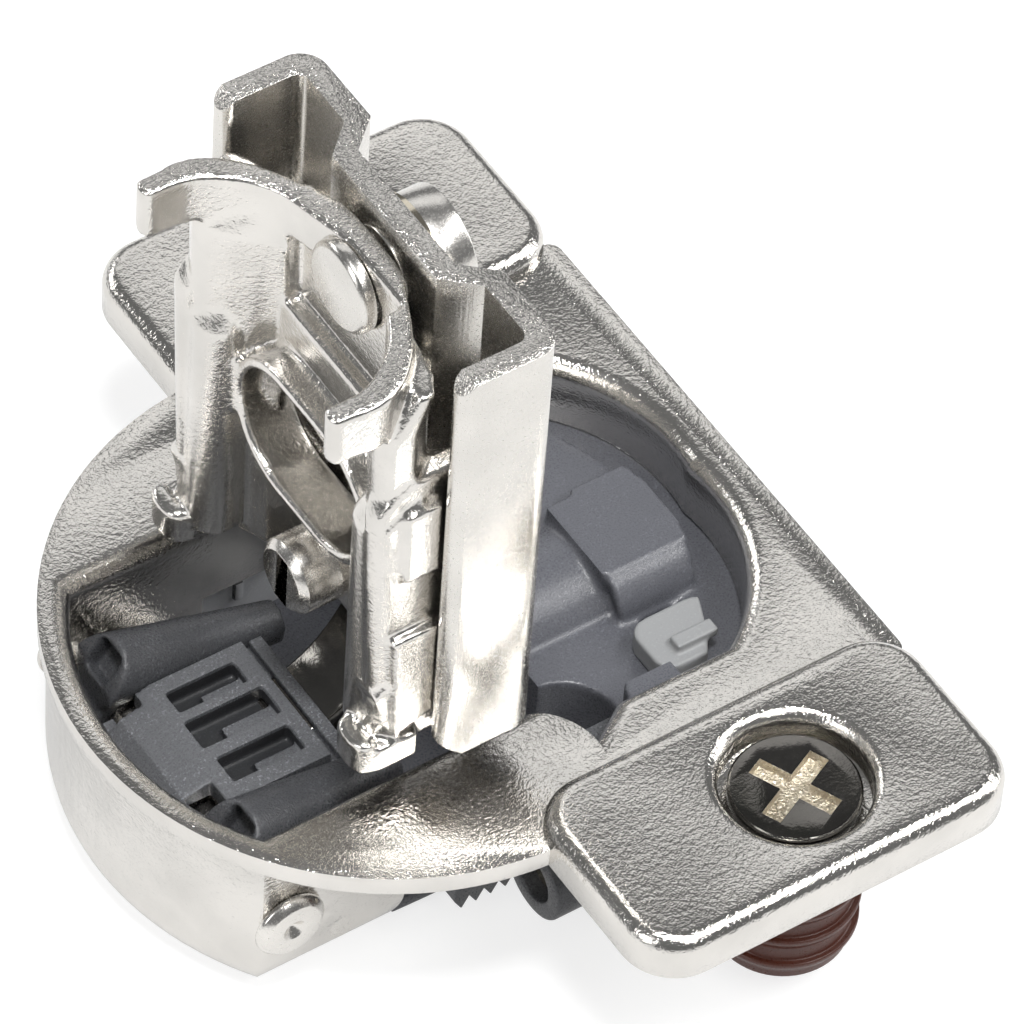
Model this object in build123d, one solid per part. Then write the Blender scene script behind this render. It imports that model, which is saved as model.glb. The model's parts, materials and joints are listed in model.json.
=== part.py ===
"""Concealed cup hinge: 35 mm cup, channel arm, nested frame plate, soft-close housing."""
import os
from math import cos, sin, sqrt

from build123d import *

# Frame: the origin is the centre of the cup on the door surface.
# +Z runs from the door into the cabinet, -X to the hinged edge of the door, Y along the hinge axis.

# cup and flange
sheet = 1.2
flange_radius = 17.68
cup_radius = 17.2
cup_depth = 10.8
cup_floor_round = 2.4
flange_back = 21.24
flange_back_half = 16.4
pocket_half = 9.2
side_wall_end = -5.0
skirt_end = 1.0
skirt_depth = 4.8
side_wall_round = 2.6
side_wall_end_round = 3.4

# ears, one for each dowel
dowel_pitch = 42.0
dowel_setback = 11.0
ear_front = -1.5
ear_back = 21.0
ear_inner = dowel_pitch / 2 - 6.1
ear_outer = dowel_pitch / 2 + 6.2
ear_top = 2.6
ear_corner = 3.0
ear_edge_round = 1.0
screw_seat_radius = 3.95
screw_seat_floor = 0.9
screw_hole_radius = 2.3
window_rim_round = 1.1

# window in the flange
window_back_centre = 2.3
window_back_radius = 16.5
window_side = 11.1
window_lobe = 1.6
window_lobe_end = 4.4
lip_depth = 3.0
lip_front = 12.1

# dowels and their screws
dowel_radius = 3.65
dowel_hole_radius = 4.0
dowel_length = 9.8
dowel_rib_pitch = 1.9
dowel_rib_height = 0.8
dowel_rib_land = 0.3
dowel_rib_count = 4
dowel_split = 1.3
dowel_collar = 3.2
screw_head_radius = 3.45
screw_head_height = 0.9
screw_shank_radius = 1.5
screw_length = 8.3
screw_recess_half = 2.4
screw_recess_width = 1.1
screw_recess_depth = 0.6
screw_turn = 25
screw_clearance = 0.05

# linkage, closed: pivot centres in X and Z
cup_outer_pivot = (-12.15, -5.5)
cup_inner_pivot = (-8.8, -8.2)
arm_outer_pivot = (-1.0, 4.6)
arm_inner_pivot = (-1.2, 9.2)
outer_axle_radius = 1.0
inner_axle_radius = 0.75
arm_pin_radius = 0.7
pivot_clearance = 0.05
axle_dome_radius = 2.0
outer_link_half = 2.0
outer_link_width = 1.8
outer_knuckle_radius = 1.65
inner_link_inside = 2.2
inner_link_half = 3.1
inner_link_width = 1.7
inner_knuckle_radius = 1.3

# link cover with three pockets, riding on the outer link
cover_front = -15.3
cover_back = -4.6
cover_half = 4.3
cover_top = -2.6
cover_thickness = 1.25
cover_pocket_depth = 0.7
cover_lip = 0.2
cover_slab = 0.95
cover_brow = (-11.4, -13.6)
cover_brow_drop = 0.5
cover_nose_drop = 2.3
cover_nose_bottom = -5.6
cover_nose_thickness = 1.1
cover_pocket_near = (-3.2, -1.6, -10.8, -6.8)
cover_pocket_middle = (-0.6, 1.2, -11.0, -6.6)
cover_pocket_far = (2.0, 3.3, -10.8, -7.0)

# cam arms beside the cover
cam_arm_front = -13.4
cam_arm_back = -2.9
cam_arm_front_height = -2.6
cam_arm_back_height = -4.0
cam_arm_front_radius = 2.0
cam_arm_back_radius = 1.15
cam_arm_gap = 0.05
cam_arm_socket = 1.9
cam_arm_face = (-12.9, -1.9)
cam_arm_tilt = 50
cam_arm_sleeve = 1.9
cam_arm_sleeve_half = 1.2

# closing spring
spring_wire_radius = 0.27
spring_turns = 3
spring_pitch = 0.6
spring_wire_sides = 6

# height of the depth eccentric above the door: the ends of the arm and plate follow it
eccentric_height = 27.6

# hinge arm
arm_thickness = 1.3
arm_half = 11.4
arm_front = -4.1
arm_back = 1.75
arm_centre_back = 0.0
arm_centre_half = 4.3
arm_jog_half = 5.9
arm_bottom = 3.1
arm_top = eccentric_height + 3.8
arm_bend = 1.5
arm_chin = 1.3
arm_tip = 0.7
arm_window_half = 6.2
arm_window_top = 11.0

# mounting plate nested in the arm
plate_thickness = 1.35
plate_side_gap = 0.6
plate_half = arm_half - arm_thickness - plate_side_gap
plate_front = -4.0
plate_ridge = -7.2
plate_ridge_round = 3.0
plate_bottom = 3.4
plate_top = eccentric_height + 2.6
plate_flange_back = 0.1
plate_flange_low_back = -2.15
plate_notch_half = 3.4
plate_notch_top = 5.6
slot_height = 15.8
slot_length = 11.0
slot_width = 7.3
collar_wall = 0.65
collar_height = 1.7
recess_bottom = eccentric_height - 5.0
recess_half = 4.4
recess_depth = 1.0
arch_bottom = recess_bottom - 0.6
plate_low_top = arch_bottom + 1.4
wing_tip = -9.65
wing_bottom = eccentric_height - 0.6
wing_heel = eccentric_height - 3.0
foot_tip = -9.0
foot_inside = plate_half - 1.7
foot_outside = plate_half + 0.25
foot_bottom = 2.9
foot_thickness = 1.25
lug_clearance = 0.05
lug_upper = (16.7, 21.7)
lug_lower = (5.9, 12.4)

# stud below the slot
stud_height = 7.2
stud_radius = 2.1
stud_front = -6.4
stud_shank_radius = 1.3
stud_rim = 0.4

# depth eccentric
eccentric_offset = 1.2
eccentric_cam_radius = 1.15
eccentric_journal_radius = 2.4
button_radius = 2.5
button_height = 0.9
washer_thickness = 0.5
washer_outer = 3.4
eccentric_head_radius = 3.1
eccentric_head_height = 1.9
running_clearance = 0.05

# soft-close housing at the back of the cup
housing_radius = 17.3
housing_front = 6.0
housing_half = 10.85
housing_bottom = -10.6
housing_floor = -3.4
ridge_front = 11.8
ridge_half = 2.75
ridge_top = -1.0
bench_front = 10.2
bench_back = 16.6
bench_half = 9.4
bench_top = -2.2
housing_shoulder = 1.6
housing_rib_front = 8.2
housing_rib_back = 11.7
housing_rib_inner = 9.2
housing_rib_outer = 12.9
housing_rib_low = -5.4
finger_scoop_radius = 3.1
finger_scoop_side = 8.7
plunger_radius = 3.35
plunger_axis = -5.6
plunger_front = 5.0
plunger_length = 10.2
plunger_clearance = 0.06
plunger_nose = 0.6

# switch on the housing
switch_front = 11.4
switch_back = 16.2
switch_inner = 5.5
switch_outer = 9.1
switch_height = 1.4
switch_travel = 1.8
switch_corner = 1.1
switch_stem = 1.9
switch_stem_length = 1.5
switch_stem_place = (12.9, -8.4)
switch_clearance = 0.1
switch_grip = (12.7, 15.2, -8.4, -7.5)
switch_grip_height = 0.5

# damper tubes under the flange
tube_offset = 13.4
tube_axis = -7.2
tube_radius = 2.45
tube_bore = 1.4
tube_front = 0.7
tube_length = 6.4
tube_floor = 1.0
clip_tongue_inner = 10.6
clip_tongue_outer = 12.0
clip_tongue_front = -3.0
clip_tongue_bottom = -8.4
clip_tongue_end = 2.0
clip_tongue_step = -4.4
clip_tooth = 0.9
clip_tooth_height = 0.8
clip_teeth = 4
saddle_front = 1.2
saddle_back = 6.6
saddle_inner = 11.3
saddle_outer = 15.2
saddle_bottom = -6.0
rod_radius = 1.34
rod_length = 3.0
rod_recess = 0.9

near = -1
far = 1
on_foot = (Align.CENTER, Align.CENTER, Align.MIN)


def at_pivot(pivot, y=0.0):
    return Location((pivot[0], y, pivot[1]))


def along_y(radius, half_length, pivot, y=0.0):
    """A cylinder lying along Y about a pivot."""
    return at_pivot(pivot, y) * Rot(90, 0, 0) * Cylinder(radius, 2 * half_length)


def along_x(radius, start, end, y, z):
    return Location(((start + end) / 2, y, z)) * Rot(0, 90, 0) * Cylinder(radius, end - start)


def upright(radius, bottom, top, x=0.0, y=0.0):
    return Location((x, y, (bottom + top) / 2)) * Cylinder(radius, top - bottom)


def block(x0, x1, y0, y1, z0, z1):
    low_y, high_y = min(y0, y1), max(y0, y1)
    centre = ((x0 + x1) / 2, (low_y + high_y) / 2, (z0 + z1) / 2)
    return Location(centre) * Box(x1 - x0, high_y - low_y, z1 - z0)


def side_plate(points, y0, y1):
    """A plate cut in the XZ plane and thickened from y0 to y1."""
    face = Plane.XZ * make_face(Polyline(*points, close=True))
    return Location((0, y1, 0)) * extrude(face, y1 - y0)


def plan_plate(points, z0, z1):
    face = make_face(Polyline(*points, close=True))
    return Location((0, 0, z0)) * extrude(face, z1 - z0)


def both_sides(solid):
    return solid + mirror(solid, Plane.XZ)


def dowel_place(side):
    return Location((dowel_setback, side * dowel_pitch / 2, 0))


def window_outline():
    """The opening in the flange: the cup pocket at the front, the housing window at the back."""
    pocket_front = sheet - cup_radius
    pocket_turn = -sqrt(pocket_front ** 2 - pocket_half ** 2)
    arc_end = window_back_centre + window_back_radius
    corner_x = window_back_centre + sqrt(window_back_radius ** 2 - (window_side - 0.5) ** 2)
    pocket_middle = (pocket_front * cos(0.3), -pocket_front * sin(0.3))
    lobe_half = window_side + window_lobe
    lobe_middle = (skirt_end + 2.5, pocket_half + 0.4 * (lobe_half - pocket_half))
    half = [
        ThreePointArc((pocket_front, 0), pocket_middle, (pocket_turn, pocket_half)),
        Line((pocket_turn, pocket_half), (skirt_end, pocket_half)),
        ThreePointArc((skirt_end, pocket_half), lobe_middle, (window_lobe_end, lobe_half)),
        Line((window_lobe_end, lobe_half), (window_lobe_end + 2.5, window_side)),
        Line((window_lobe_end + 2.5, window_side), (corner_x - 1.2, window_side)),
        ThreePointArc((corner_x - 1.2, window_side), (corner_x + 1.8, 8.4), (arc_end, 0)),
        Line((arc_end, 0), (pocket_front, 0)),
    ]
    return make_face(Wire(half))


def make_lip():
    """The drawn lip round the back of the window, below the flange."""
    outline = window_outline()
    half = extrude(offset(outline, sheet), lip_depth) - extrude(outline, lip_depth)
    half &= block(lip_front, flange_back, 0, 20, 0, lip_depth)
    return Location((0, 0, -lip_depth)) * both_sides(half)


def round_window_rim(cup):
    """Rounds the upper edge of the pocket and of the housing window, but not the lobes between."""
    outline = both_sides(extrude(window_outline(), sheet))
    upper = [e for e in cup.edges() if abs(e.center().Z - sheet) < 0.001]
    rim = [e for e in upper if outline.distance_to(e @ 0.5) < 0.01]
    pocket = [e for e in rim if (e @ 0.5).X < skirt_end]
    window = [e for e in rim if (e @ 0.5).X > window_lobe_end]
    cup = fillet(pocket, window_rim_round)
    return fillet(matching(cup, window), window_rim_round)


def matching(solid, wanted):
    """The edges of a solid whose middles lie where the wanted edges have theirs."""
    return [e for e in solid.edges() if any((e @ 0.5 - w @ 0.5).length < 0.01 for w in wanted)]


def make_ear(side):
    """A raised pad with rounded corners, hollow underneath, with the seat of its dowel screw."""
    inner_y, outer_y = side * ear_inner, side * ear_outer
    wall = sheet * side
    pad = block(ear_front, ear_back, inner_y, outer_y, 0, ear_top)
    pad = fillet(pad.edges().filter_by(Axis.Z), ear_corner)
    pad = fillet(pad.faces().sort_by(Axis.Z)[-1].edges(), ear_edge_round)
    hollow = block(ear_front + sheet, ear_back - sheet, inner_y + wall, outer_y - wall, 0, ear_top - sheet)
    hollow = fillet(hollow.edges().filter_by(Axis.Z), ear_corner - sheet)
    seat = dowel_place(side) * upright(screw_seat_radius + sheet, 0, ear_top)
    recess = dowel_place(side) * upright(screw_seat_radius, screw_seat_floor, ear_top + 1)
    hole = dowel_place(side) * upright(screw_hole_radius, -1, ear_top)
    return pad - hollow + (seat & pad) - recess - hole


def make_cup():
    disc = extrude(Circle(flange_radius), sheet)
    back = block(0, flange_back, -flange_back_half, flange_back_half, 0, sheet)
    flange = disc + back
    back_edges = [e for e in flange.edges().filter_by(Axis.Z) if e.center().X > flange_back - 0.1]
    flange = fillet(back_edges, 0.8)
    for side in (near, far):
        ear = make_ear(side)
        inner_y, outer_y = side * (ear_inner + sheet), side * ear_outer
        flange -= block(ear_front + sheet, ear_back - sheet, inner_y, outer_y, -1, sheet + 0.2)
        flange += ear
    opening = both_sides(extrude(window_outline(), 2 * sheet))
    flange -= Location((0, 0, -0.5 * sheet)) * opening
    return round_window_rim(flange + make_cup_walls() + make_lip())


def make_cup_walls():
    wall_half = pocket_half + sheet
    outer = upright(cup_radius, -cup_depth, 0)
    outer = fillet(outer.faces().sort_by(Axis.Z)[0].edges(), cup_floor_round)
    inner = upright(cup_radius - sheet, sheet - cup_depth, 1)
    inner = fillet(inner.faces().sort_by(Axis.Z)[0].edges(), cup_floor_round - sheet)
    tub = block(-20, side_wall_end, -wall_half, wall_half, -cup_depth, 0)
    long_edges = [e for e in tub.edges().filter_by(Axis.X) if e.center().Z < -cup_depth + 0.1]
    tub = fillet(long_edges, side_wall_round) - side_wall_end_cut()
    room = block(-20, 20, -pocket_half, pocket_half, sheet - cup_depth, 1)
    room_edges = [e for e in room.edges().filter_by(Axis.X) if e.center().Z < 0]
    room = fillet(room_edges, side_wall_round - sheet)
    walls = (outer & tub) - (inner & room)
    skirt = block(side_wall_end, skirt_end, pocket_half, wall_half, -skirt_depth, 0)
    walls += both_sides(skirt)
    walls -= along_y(outer_axle_radius, 20, cup_outer_pivot)
    walls -= along_y(inner_axle_radius, 20, cup_inner_pivot)
    return walls


def side_wall_end_cut():
    """The waste under the round at the lower end of the side walls."""
    r = side_wall_end_round
    corner = block(side_wall_end - r, side_wall_end + 1, -20, 20, -cup_depth - 1, r - cup_depth)
    return corner - along_y(r, 21, (side_wall_end - r, r - cup_depth))


def make_outer_axle():
    wall_face = pocket_half + sheet
    axle = along_y(outer_axle_radius, wall_face, cup_outer_pivot)
    dome = at_pivot(cup_outer_pivot, wall_face + 0.35) * Rot(90, 0, 0) * Cylinder(axle_dome_radius, 0.7)
    rim = [e for e in dome.edges() if abs(e.center().Y) > wall_face + 0.6]
    dome = chamfer(rim, 0.4)
    dimple = at_pivot(cup_outer_pivot, wall_face + 0.5) * Rot(-90, 0, 0) * Cone(0.1, 0.8, 0.6)
    return axle + both_sides(dome - dimple)


def make_inner_axle():
    return along_y(inner_axle_radius, pocket_half + sheet, cup_inner_pivot)


def thick_path(points, width, y0, y1):
    """A strip of one width that follows a smooth path in the XZ plane."""
    path = Spline(*points)
    strip = Plane.XZ * trace(path, line_width=width)
    return Location((0, y1, 0)) * extrude(strip, y1 - y0)


def make_outer_link():
    path = [cup_outer_pivot, (-7.5, -4.75), (-4.0, -3.8), (-0.9, -0.9), (0.1, 2.4), arm_outer_pivot]
    link = thick_path(path, outer_link_width, -outer_link_half, outer_link_half)
    link += along_y(outer_knuckle_radius, outer_link_half, cup_outer_pivot)
    link += along_y(inner_knuckle_radius, outer_link_half, arm_outer_pivot)
    link -= along_y(outer_axle_radius + pivot_clearance, 20, cup_outer_pivot)
    link -= along_y(arm_pin_radius + pivot_clearance, 20, arm_outer_pivot)
    return link


def make_inner_link():
    path = [cup_inner_pivot, (-2.2, -5.5), (2.8, -1.4), (5.0, 3.2), (4.6, 6.9), (2.4, 9.0), arm_inner_pivot]
    cheek = thick_path(path, inner_link_width, inner_link_inside, inner_link_half)
    link = both_sides(cheek)
    link += along_y(inner_knuckle_radius, inner_link_half, cup_inner_pivot)
    link += along_y(inner_knuckle_radius, inner_link_half, arm_inner_pivot)
    link -= along_y(inner_axle_radius + pivot_clearance, 20, cup_inner_pivot)
    link -= along_y(arm_pin_radius, 20, arm_inner_pivot)
    return link


def make_arm_pin_outer():
    return along_y(arm_pin_radius, arm_half - arm_thickness + 0.6, arm_outer_pivot)


def make_arm_pin_inner():
    return along_y(arm_pin_radius, plate_half - plate_thickness - 0.15, arm_inner_pivot)


def make_link_cover():
    bottom = cover_top - cover_thickness
    nose_back = cover_front + cover_nose_thickness
    profile = [
        (cover_back, bottom), (cover_back, cover_top - cover_lip), (cover_back - cover_lip, cover_top),
        (cover_brow[0], cover_top), (cover_brow[1], cover_top - cover_brow_drop),
        (cover_front, cover_top - cover_nose_drop), (cover_front, cover_nose_bottom),
        (nose_back, cover_nose_bottom), (nose_back + 0.3, bottom - 0.4), (nose_back + 1.0, bottom),
    ]
    cover = side_plate(profile, -cover_half, cover_half)
    for y0, y1, x0, x1 in (cover_pocket_near, cover_pocket_middle, cover_pocket_far):
        cover -= block(x0, x1, y0, y1, cover_top - cover_pocket_depth, cover_top + 1)
    groove = cover_back - cover_slab
    groove_floor = cover_top - 2.5 * cover_lip
    cover -= block(groove, groove + cover_lip, -cover_half - 1, cover_half + 1, groove_floor, cover_top + 1)
    return cover - make_outer_link() - along_y(outer_axle_radius + pivot_clearance, 20, cup_outer_pivot)


def make_cam_arm(side):
    """A tapered arm on the outer axle, with a square socket in its slanted end."""
    front_y = side * (cover_half + cam_arm_gap + cam_arm_front_radius)
    back_y = side * (cover_half + cam_arm_gap + cam_arm_back_radius)
    front_centre = Vector(cam_arm_front, front_y, cam_arm_front_height)
    run = Vector(cam_arm_back, back_y, cam_arm_back_height) - front_centre
    arm = Cone(cam_arm_front_radius, cam_arm_back_radius, run.length, align=on_foot)
    arm = Plane(origin=front_centre, z_dir=run) * arm
    arm += along_y(cam_arm_sleeve, cam_arm_sleeve_half, cup_outer_pivot, front_y)
    face = Location((cam_arm_face[0], front_y, cam_arm_face[1])) * Rot(0, -cam_arm_tilt, 0)
    arm -= face * Location((0, 0, 3)) * Box(8, 8, 6)
    arm -= face * Box(cam_arm_socket, cam_arm_socket, 2.4)
    return arm - along_y(outer_axle_radius, 20, cup_outer_pivot)


def make_closing_spring():
    mean_radius = outer_axle_radius + pivot_clearance + spring_wire_radius
    coil = Helix(pitch=spring_pitch, height=spring_pitch * spring_turns, radius=mean_radius)
    wire = Plane(origin=coil @ 0, z_dir=coil % 0) * RegularPolygon(spring_wire_radius, spring_wire_sides)
    turns = sweep(wire, path=coil)
    start = outer_link_half + 0.1 + spring_wire_radius
    return at_pivot(cup_outer_pivot, start) * Rot(-90, 0, 0) * turns


def arm_plan():
    t = arm_thickness
    return [
        (arm_centre_back, 0), (arm_centre_back, arm_centre_half),
        (arm_back, arm_jog_half), (arm_back, arm_half),
        (arm_front, arm_half), (arm_front, arm_half - t),
        (arm_back - t, arm_half - t), (arm_back - t, arm_jog_half + 0.35),
        (arm_centre_back - t, arm_centre_half + 0.35), (arm_centre_back - t, 0),
    ]


def make_arm():
    half = plan_plate(arm_plan(), arm_bottom, arm_top)
    corner = [e for e in half.edges().filter_by(Axis.Z)
              if abs(e.center().X - arm_back) < 0.01 and abs(e.center().Y - arm_half) < 0.01]
    half = fillet(corner, arm_bend)
    chin_x, chin_z = arm_front + arm_chin, arm_bottom + arm_chin
    chin = [(arm_front - 1, chin_z), (arm_front, chin_z), (chin_x, arm_bottom), (chin_x, 0), (arm_front - 1, 0)]
    half -= side_plate(chin, 8, 13)
    tip_x, tip_z = arm_front + arm_tip, arm_top - arm_tip
    tip = [(arm_front - 1, tip_z), (arm_front, tip_z), (tip_x, arm_top), (tip_x, arm_top + 1)]
    tip += [(arm_front - 1, arm_top + 1)]
    half -= side_plate(tip, 8, 13)
    arm = both_sides(half)
    arm -= block(-6, 6, -arm_window_half, arm_window_half, 0, arm_window_top)
    arm -= along_x(eccentric_journal_radius + running_clearance, -6, 6, 0, eccentric_height)
    return arm - make_arm_pin_outer()


def plate_plan():
    t = plate_thickness
    side = plate_half
    return [
        (plate_front, 0), (plate_front, side - 4.6), (plate_front - 1.0, side - 2.3),
        (plate_ridge, side - 1.4), (plate_ridge - 0.3, side - 0.8), (plate_ridge, side - 0.1),
        (plate_ridge + 0.6, side),
        (plate_flange_back, side), (plate_flange_back, side - t), (plate_front - 0.6, side - t),
        (plate_front + 0.7, side - 1.9), (plate_front + t, side - 4.2), (plate_front + t, 0),
    ]


def make_arch():
    """The upper part of the plate: it arches in plan and ends in two wings."""
    t = plate_thickness
    floor = plate_front + recess_depth
    tip = wing_tip
    inside, outside = plate_half - 1.6, plate_half - 0.4
    front = [(floor, 0), (floor - 0.6, inside - 4.5), (floor - 2.0, inside - 1.8), (floor - 4.0, inside - 0.3)]
    front += [(tip, inside)]
    end = ThreePointArc((tip, inside), (tip - 0.25, (inside + outside) / 2), (tip, outside))
    back = [(tip, outside), (floor - 4.0, outside + 0.05), (floor - 1.0, outside - 2.2)]
    back += [(floor + 0.9, outside - 5.8), (floor + t, 0)]
    front_curve = Spline(*front, tangents=((0, 1), (-1, 0)))
    back_curve = Spline(*back, tangents=((1, 0), (0, -1)))
    face = make_face(Wire([front_curve, end, back_curve, Line((floor + t, 0), (floor, 0))]))
    arch = Location((0, 0, arch_bottom)) * extrude(face, plate_top - arch_bottom)
    low = arch_bottom - 1
    heel_x = floor - 2.3
    under = [
        (tip - 1, low), (heel_x, low), (heel_x, wing_heel), (heel_x - 0.5, wing_heel + 1.5),
        (heel_x - 1.6, wing_bottom), (tip - 1, wing_bottom),
    ]
    return arch - side_plate(under, 6.0, 12)


def make_foot():
    profile = [
        (plate_front - 0.4, foot_bottom), (foot_tip + 1.6, foot_bottom),
        (foot_tip + 0.4, foot_bottom + 1.0), (foot_tip - 0.1, foot_bottom + 3.4),
        (foot_tip + 0.9, foot_bottom + 3.6), (foot_tip + 1.5, foot_bottom + 1.9),
        (foot_tip + 2.2, foot_bottom + foot_thickness), (plate_front - 0.4, foot_bottom + foot_thickness),
    ]
    return side_plate(profile, foot_inside, foot_outside)


def make_lugs():
    out = arm_half - arm_thickness - lug_clearance
    upper = block(plate_front - 1.9, plate_front + 0.2, plate_half - 0.5, out, *lug_upper)
    lower = block(plate_front - 2.3, plate_front + 0.4, plate_half - 0.5, out, *lug_lower)
    return upper + lower


def obround(length, width, x0, x1, z):
    face = Plane(origin=(x0, 0, z), x_dir=(0, 1, 0), z_dir=(1, 0, 0)) * SlotOverall(length, width)
    return extrude(face, x1 - x0)


def ridge_top_cut():
    """The waste over the round at the upper end of the ridges."""
    r = plate_ridge_round
    x, z = plate_ridge - 0.3 + r, plate_low_top - r
    corner = block(x - r - 1, x, 0, plate_half + 1, z, plate_low_top + 1)
    return corner - along_y(r, 21, (x, z))


def make_mounting_plate():
    half = plan_plate(plate_plan(), plate_bottom, plate_low_top) - ridge_top_cut()
    half += make_foot()
    half += make_lugs()
    half -= block(plate_flange_low_back, 3, 7, 12, 0, 13.6)
    half += make_arch()
    plate = both_sides(half)
    back = plate_front + plate_thickness
    recess_floor = plate_front + recess_depth
    plate += block(back - 0.2, back + recess_depth, -recess_half, recess_half, recess_bottom - 1.0, arch_bottom + 2)
    plate -= block(plate_front - 1, recess_floor, -recess_half, recess_half, recess_bottom, plate_top + 1)
    collar_length, collar_width = slot_length + 2 * collar_wall, slot_width + 2 * collar_wall
    plate += obround(collar_length, collar_width, plate_front - collar_height, back, slot_height)
    plate -= obround(slot_length, slot_width, plate_front - 4, back + 1, slot_height)
    plate -= block(plate_front - 2, back + 1, -plate_notch_half, plate_notch_half, 0, plate_notch_top)
    plate -= along_x(stud_shank_radius, -8, 0, 0, stud_height)
    cam_room = eccentric_cam_radius + 0.1
    cam_reach = 2 * (eccentric_offset + cam_room)
    return plate - obround(cam_reach, 2 * cam_room, plate_front - 1, back + 2, eccentric_height)


def make_plate_stud():
    shank = along_x(stud_shank_radius, plate_front, plate_front + plate_thickness, 0, stud_height)
    head = along_x(stud_radius, stud_front, plate_front, 0, stud_height)
    rim = [e for e in head.edges() if e.center().X < stud_front + 0.1]
    head = chamfer(rim, stud_rim)
    head -= block(stud_front - 1, stud_front + 0.7, -0.5, 0.5, stud_height - 1.6, stud_height + 1.6)
    return head + shank


def make_eccentric():
    floor = plate_front + recess_depth
    web_front = arm_centre_back - arm_thickness
    head_front = arm_centre_back + washer_thickness
    button = along_x(button_radius, floor - button_height, floor - 0.03, 0, eccentric_height)
    rim = [e for e in button.edges() if e.center().X < floor - button_height + 0.1]
    button = chamfer(rim, 0.25)
    cam = along_x(eccentric_cam_radius, floor - 0.1, web_front, eccentric_offset, eccentric_height)
    journal = along_x(eccentric_journal_radius, web_front - 0.08, head_front, 0, eccentric_height)
    head = along_x(eccentric_head_radius, head_front, head_front + eccentric_head_height, 0, eccentric_height)
    end = head_front + eccentric_head_height
    cross = block(end - 1.0, end + 1, -2.0, 2.0, eccentric_height - 0.4, eccentric_height + 0.4)
    cross += block(end - 1.0, end + 1, -0.4, 0.4, eccentric_height - 2.0, eccentric_height + 2.0)
    return button + cam + journal + (head - cross)


def make_wave_washer():
    inner = eccentric_journal_radius + running_clearance
    ring = along_x(washer_outer, arm_centre_back, arm_centre_back + washer_thickness, 0, eccentric_height)
    return ring - along_x(inner, -6, 6, 0, eccentric_height)


def make_damper_housing():
    drum = upright(housing_radius, housing_bottom, 0)
    tray = block(housing_front, 20, -housing_half, housing_half, housing_bottom, housing_floor)
    shoulder = [e for e in tray.edges().filter_by(Axis.X) if e.center().Z > housing_floor - 0.1]
    tray = fillet(shoulder, housing_shoulder)
    root = housing_floor - 1
    body = tray + block(bench_front, bench_back, ridge_half, bench_half, root, bench_top)
    body += block(ridge_front, 20, -ridge_half, ridge_half, root, ridge_top)
    front, back, low = housing_rib_front, housing_rib_back, housing_rib_low
    body += both_sides(block(front, back, housing_rib_inner, window_side, low, ridge_top))
    body += both_sides(block(front, back, window_side - 0.3, housing_rib_outer, low, 0))
    body &= drum
    body -= upright(finger_scoop_radius, housing_bottom - 1, 0, housing_front - 0.4, -finger_scoop_side)
    room_end = plunger_front + plunger_length + running_clearance
    body -= along_x(plunger_radius + plunger_clearance, plunger_front - 1, room_end, 0, plunger_axis)
    stem_x, stem_y = switch_stem_place
    slot = block(
        stem_x - switch_clearance, stem_x + switch_stem + switch_clearance,
        stem_y - switch_clearance, stem_y + switch_stem + switch_travel + switch_clearance,
        housing_floor - switch_stem_length - switch_clearance, housing_floor + 1,
    )
    return body - slot


def make_damper_plunger():
    barrel = along_x(plunger_radius, plunger_front, plunger_front + plunger_length, 0, plunger_axis)
    rim = [e for e in barrel.edges() if e.center().X < plunger_front + 0.1]
    return chamfer(rim, plunger_nose)


def make_soft_close_switch():
    top = housing_floor + switch_height
    pad = block(switch_front, switch_back, -switch_outer, -switch_inner, housing_floor, top)
    pad = fillet(pad.edges().filter_by(Axis.Z), switch_corner)
    pad &= upright(housing_radius - 0.5, housing_bottom, 2)
    grip = block(*switch_grip, top - 0.1, top + switch_grip_height)
    stem_x, stem_y = switch_stem_place
    stem_foot = housing_floor - switch_stem_length
    stem = block(stem_x, stem_x + switch_stem, stem_y, stem_y + switch_stem, stem_foot, housing_floor + 0.1)
    return pad + grip + stem


def make_damper_tube(side):
    y = side * tube_offset
    tube = along_x(tube_radius, tube_front, tube_front + tube_length, y, tube_axis)
    return tube - along_x(tube_bore, tube_front - 1, tube_front + tube_length - tube_floor, y, tube_axis)


def make_damper_rod(side):
    start = tube_front + rod_recess
    return along_x(rod_radius, start, start + rod_length, side * tube_offset, tube_axis)


def make_damper_clip(side):
    """The holder of a damper tube: a saddle under the flange and a toothed tongue beside the cup."""
    saddle = block(saddle_front, saddle_back, side * saddle_inner, side * saddle_outer, saddle_bottom, 0)
    saddle -= along_x(tube_radius, 0, 20, side * tube_offset, tube_axis)
    tongue_y0, tongue_y1 = sorted((side * clip_tongue_inner, side * clip_tongue_outer))
    outline = [(clip_tongue_front, 0)]
    for k in range(clip_teeth):
        x = clip_tongue_front + clip_tooth * k
        outline += [(x, clip_tongue_bottom), (x + clip_tooth / 2, clip_tongue_bottom - clip_tooth_height)]
    teeth_end = clip_tongue_front + clip_tooth * clip_teeth
    outline += [(teeth_end, clip_tongue_bottom), (tube_front - 0.1, clip_tongue_step)]
    outline += [(clip_tongue_end, clip_tongue_step), (clip_tongue_end, 0)]
    return saddle + side_plate(outline, tongue_y0, tongue_y1)


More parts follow.
